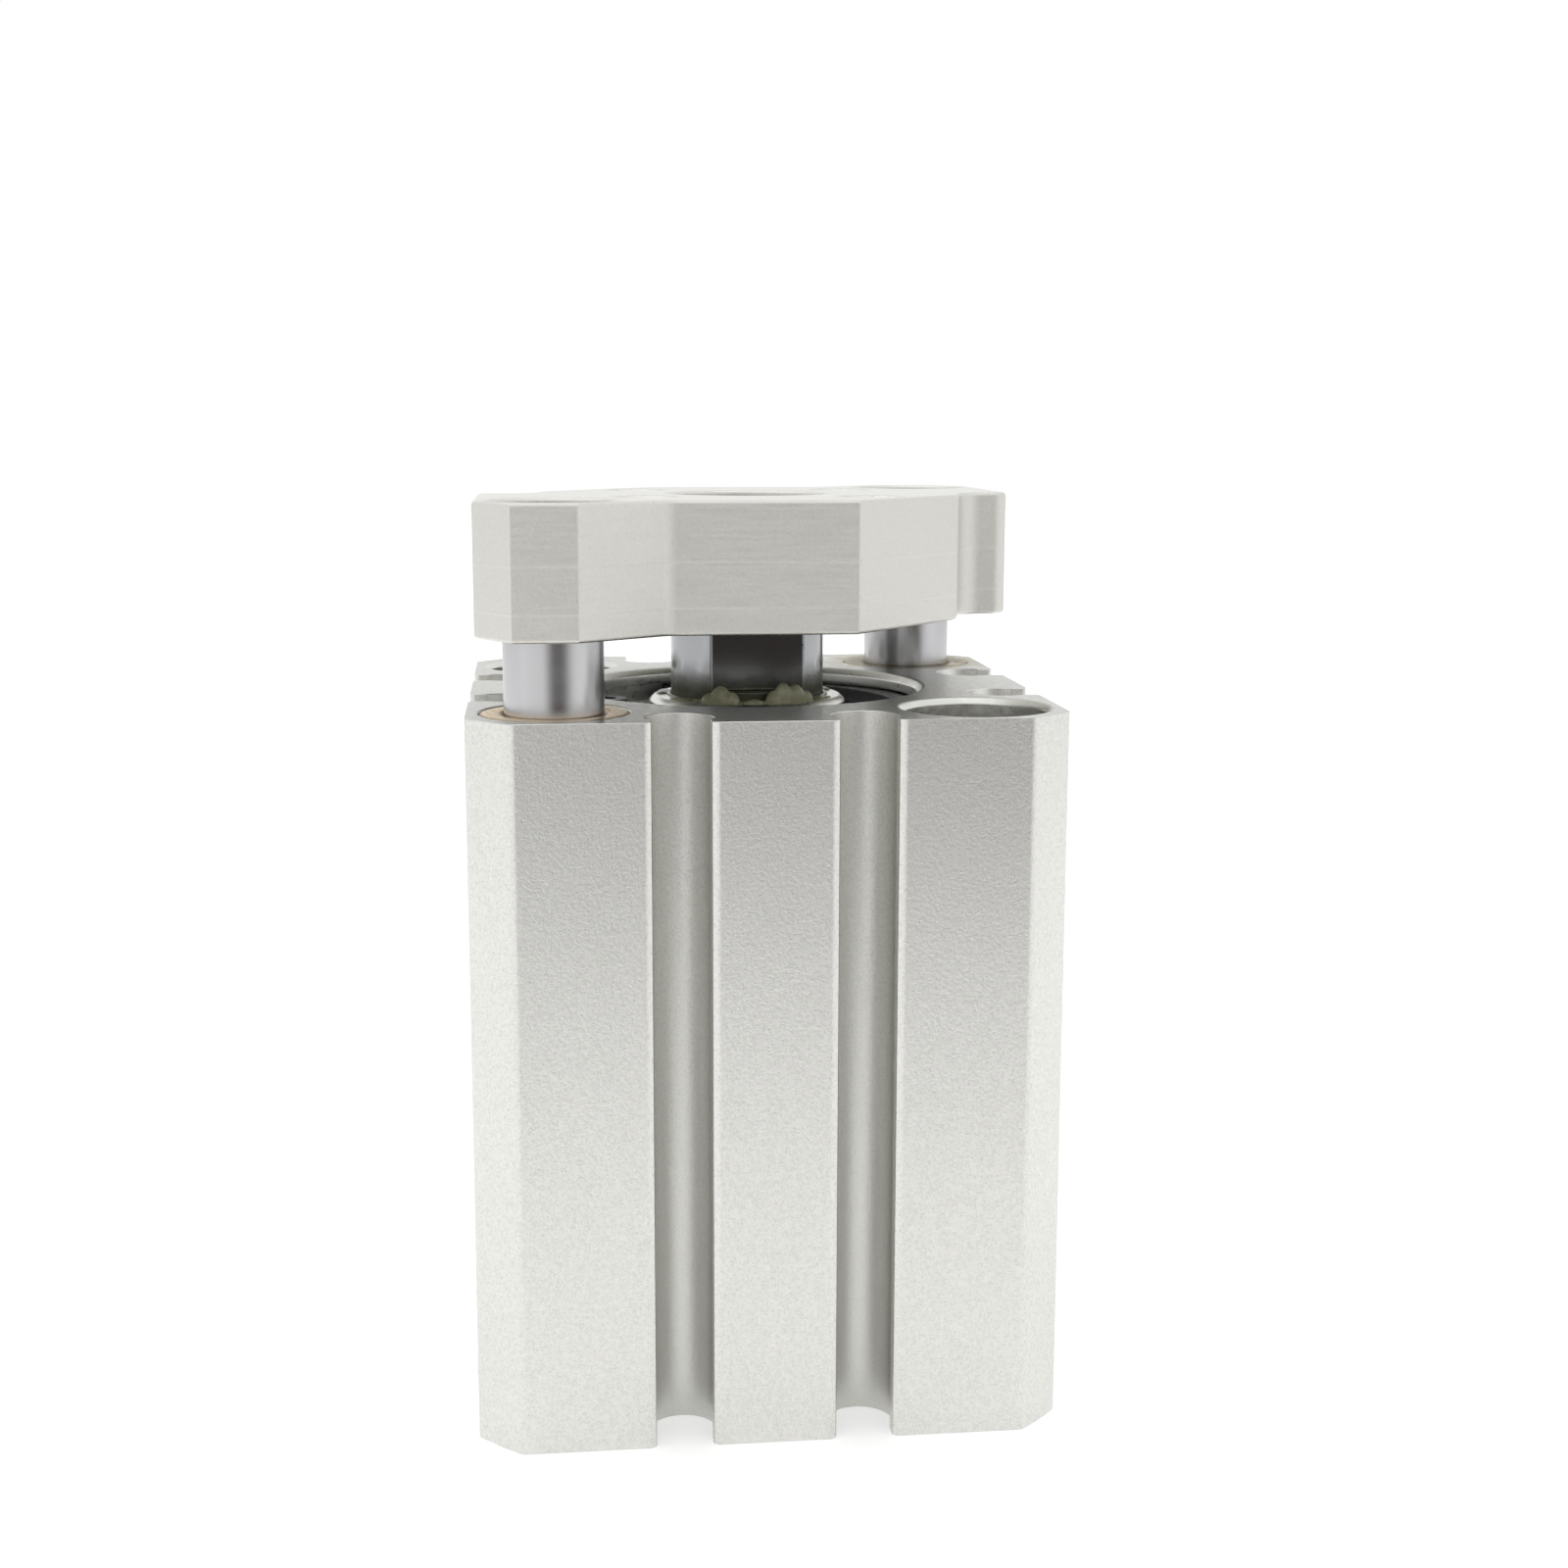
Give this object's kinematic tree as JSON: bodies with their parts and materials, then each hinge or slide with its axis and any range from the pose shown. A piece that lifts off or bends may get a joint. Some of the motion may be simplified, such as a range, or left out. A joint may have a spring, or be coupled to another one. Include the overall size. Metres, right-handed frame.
{
  "type": "guided pneumatic cylinder",
  "caption": "Compact square air cylinder with diagonal guide rods and a shaped end plate that slides straight out of the tube.",
  "frame": {"origin": "centre of the tube's bottom face", "axes": "+Z along the piston rod towards the end plate, -Y is the front face, +Y is the face with the two air ports"},
  "size_m": [0.036, 0.036, 0.057],
  "materials": {
    "anodised_body": "satin bead-blasted clear anodising",
    "milled_plate": "milled and clear anodised, fine lines",
    "turned_cover": "turned",
    "piston_alloy": "turned",
    "chromed_rod": "ground and hard chromed",
    "bronze_bush": "sintered bronze",
    "blackened_ring": "blackened spring steel",
    "screw_steel": "plated alloy steel",
    "rubber_seal": "moulded",
    "urethane_bumper": "moulded urethane",
    "magnet_ring": "plastic bonded magnet"
  },
  "bodies": {
    "housing": {"cylinder_tube": "anodised_body", "rod_cover": "turned_cover", "rod_cover_o_ring": "rubber_seal", "rod_seal": "rubber_seal", "retaining_ring": "blackened_ring", "rod_side_bumper": "urethane_bumper", "head_bumper": "urethane_bumper", "guide_bush_front_upper": "bronze_bush", "guide_bush_front_lower": "bronze_bush", "guide_bush_rear_upper": "bronze_bush", "guide_bush_rear_lower": "bronze_bush"},
    "carriage": {"piston_rod": "chromed_rod", "piston": "piston_alloy", "piston_seal": "rubber_seal", "magnet": "magnet_ring", "end_plate": "milled_plate", "guide_rod_front": "chromed_rod", "guide_rod_rear": "chromed_rod", "centre_screw": "screw_steel", "guide_rod_screw_front": "screw_steel", "guide_rod_screw_rear": "screw_steel"}
  },
  "joints": [
    {"name": "rod_slide", "type": "slide", "parent": "housing", "child": "carriage", "axis": [0, 0, 1], "range_m": [0, 0.015]}
  ]
}
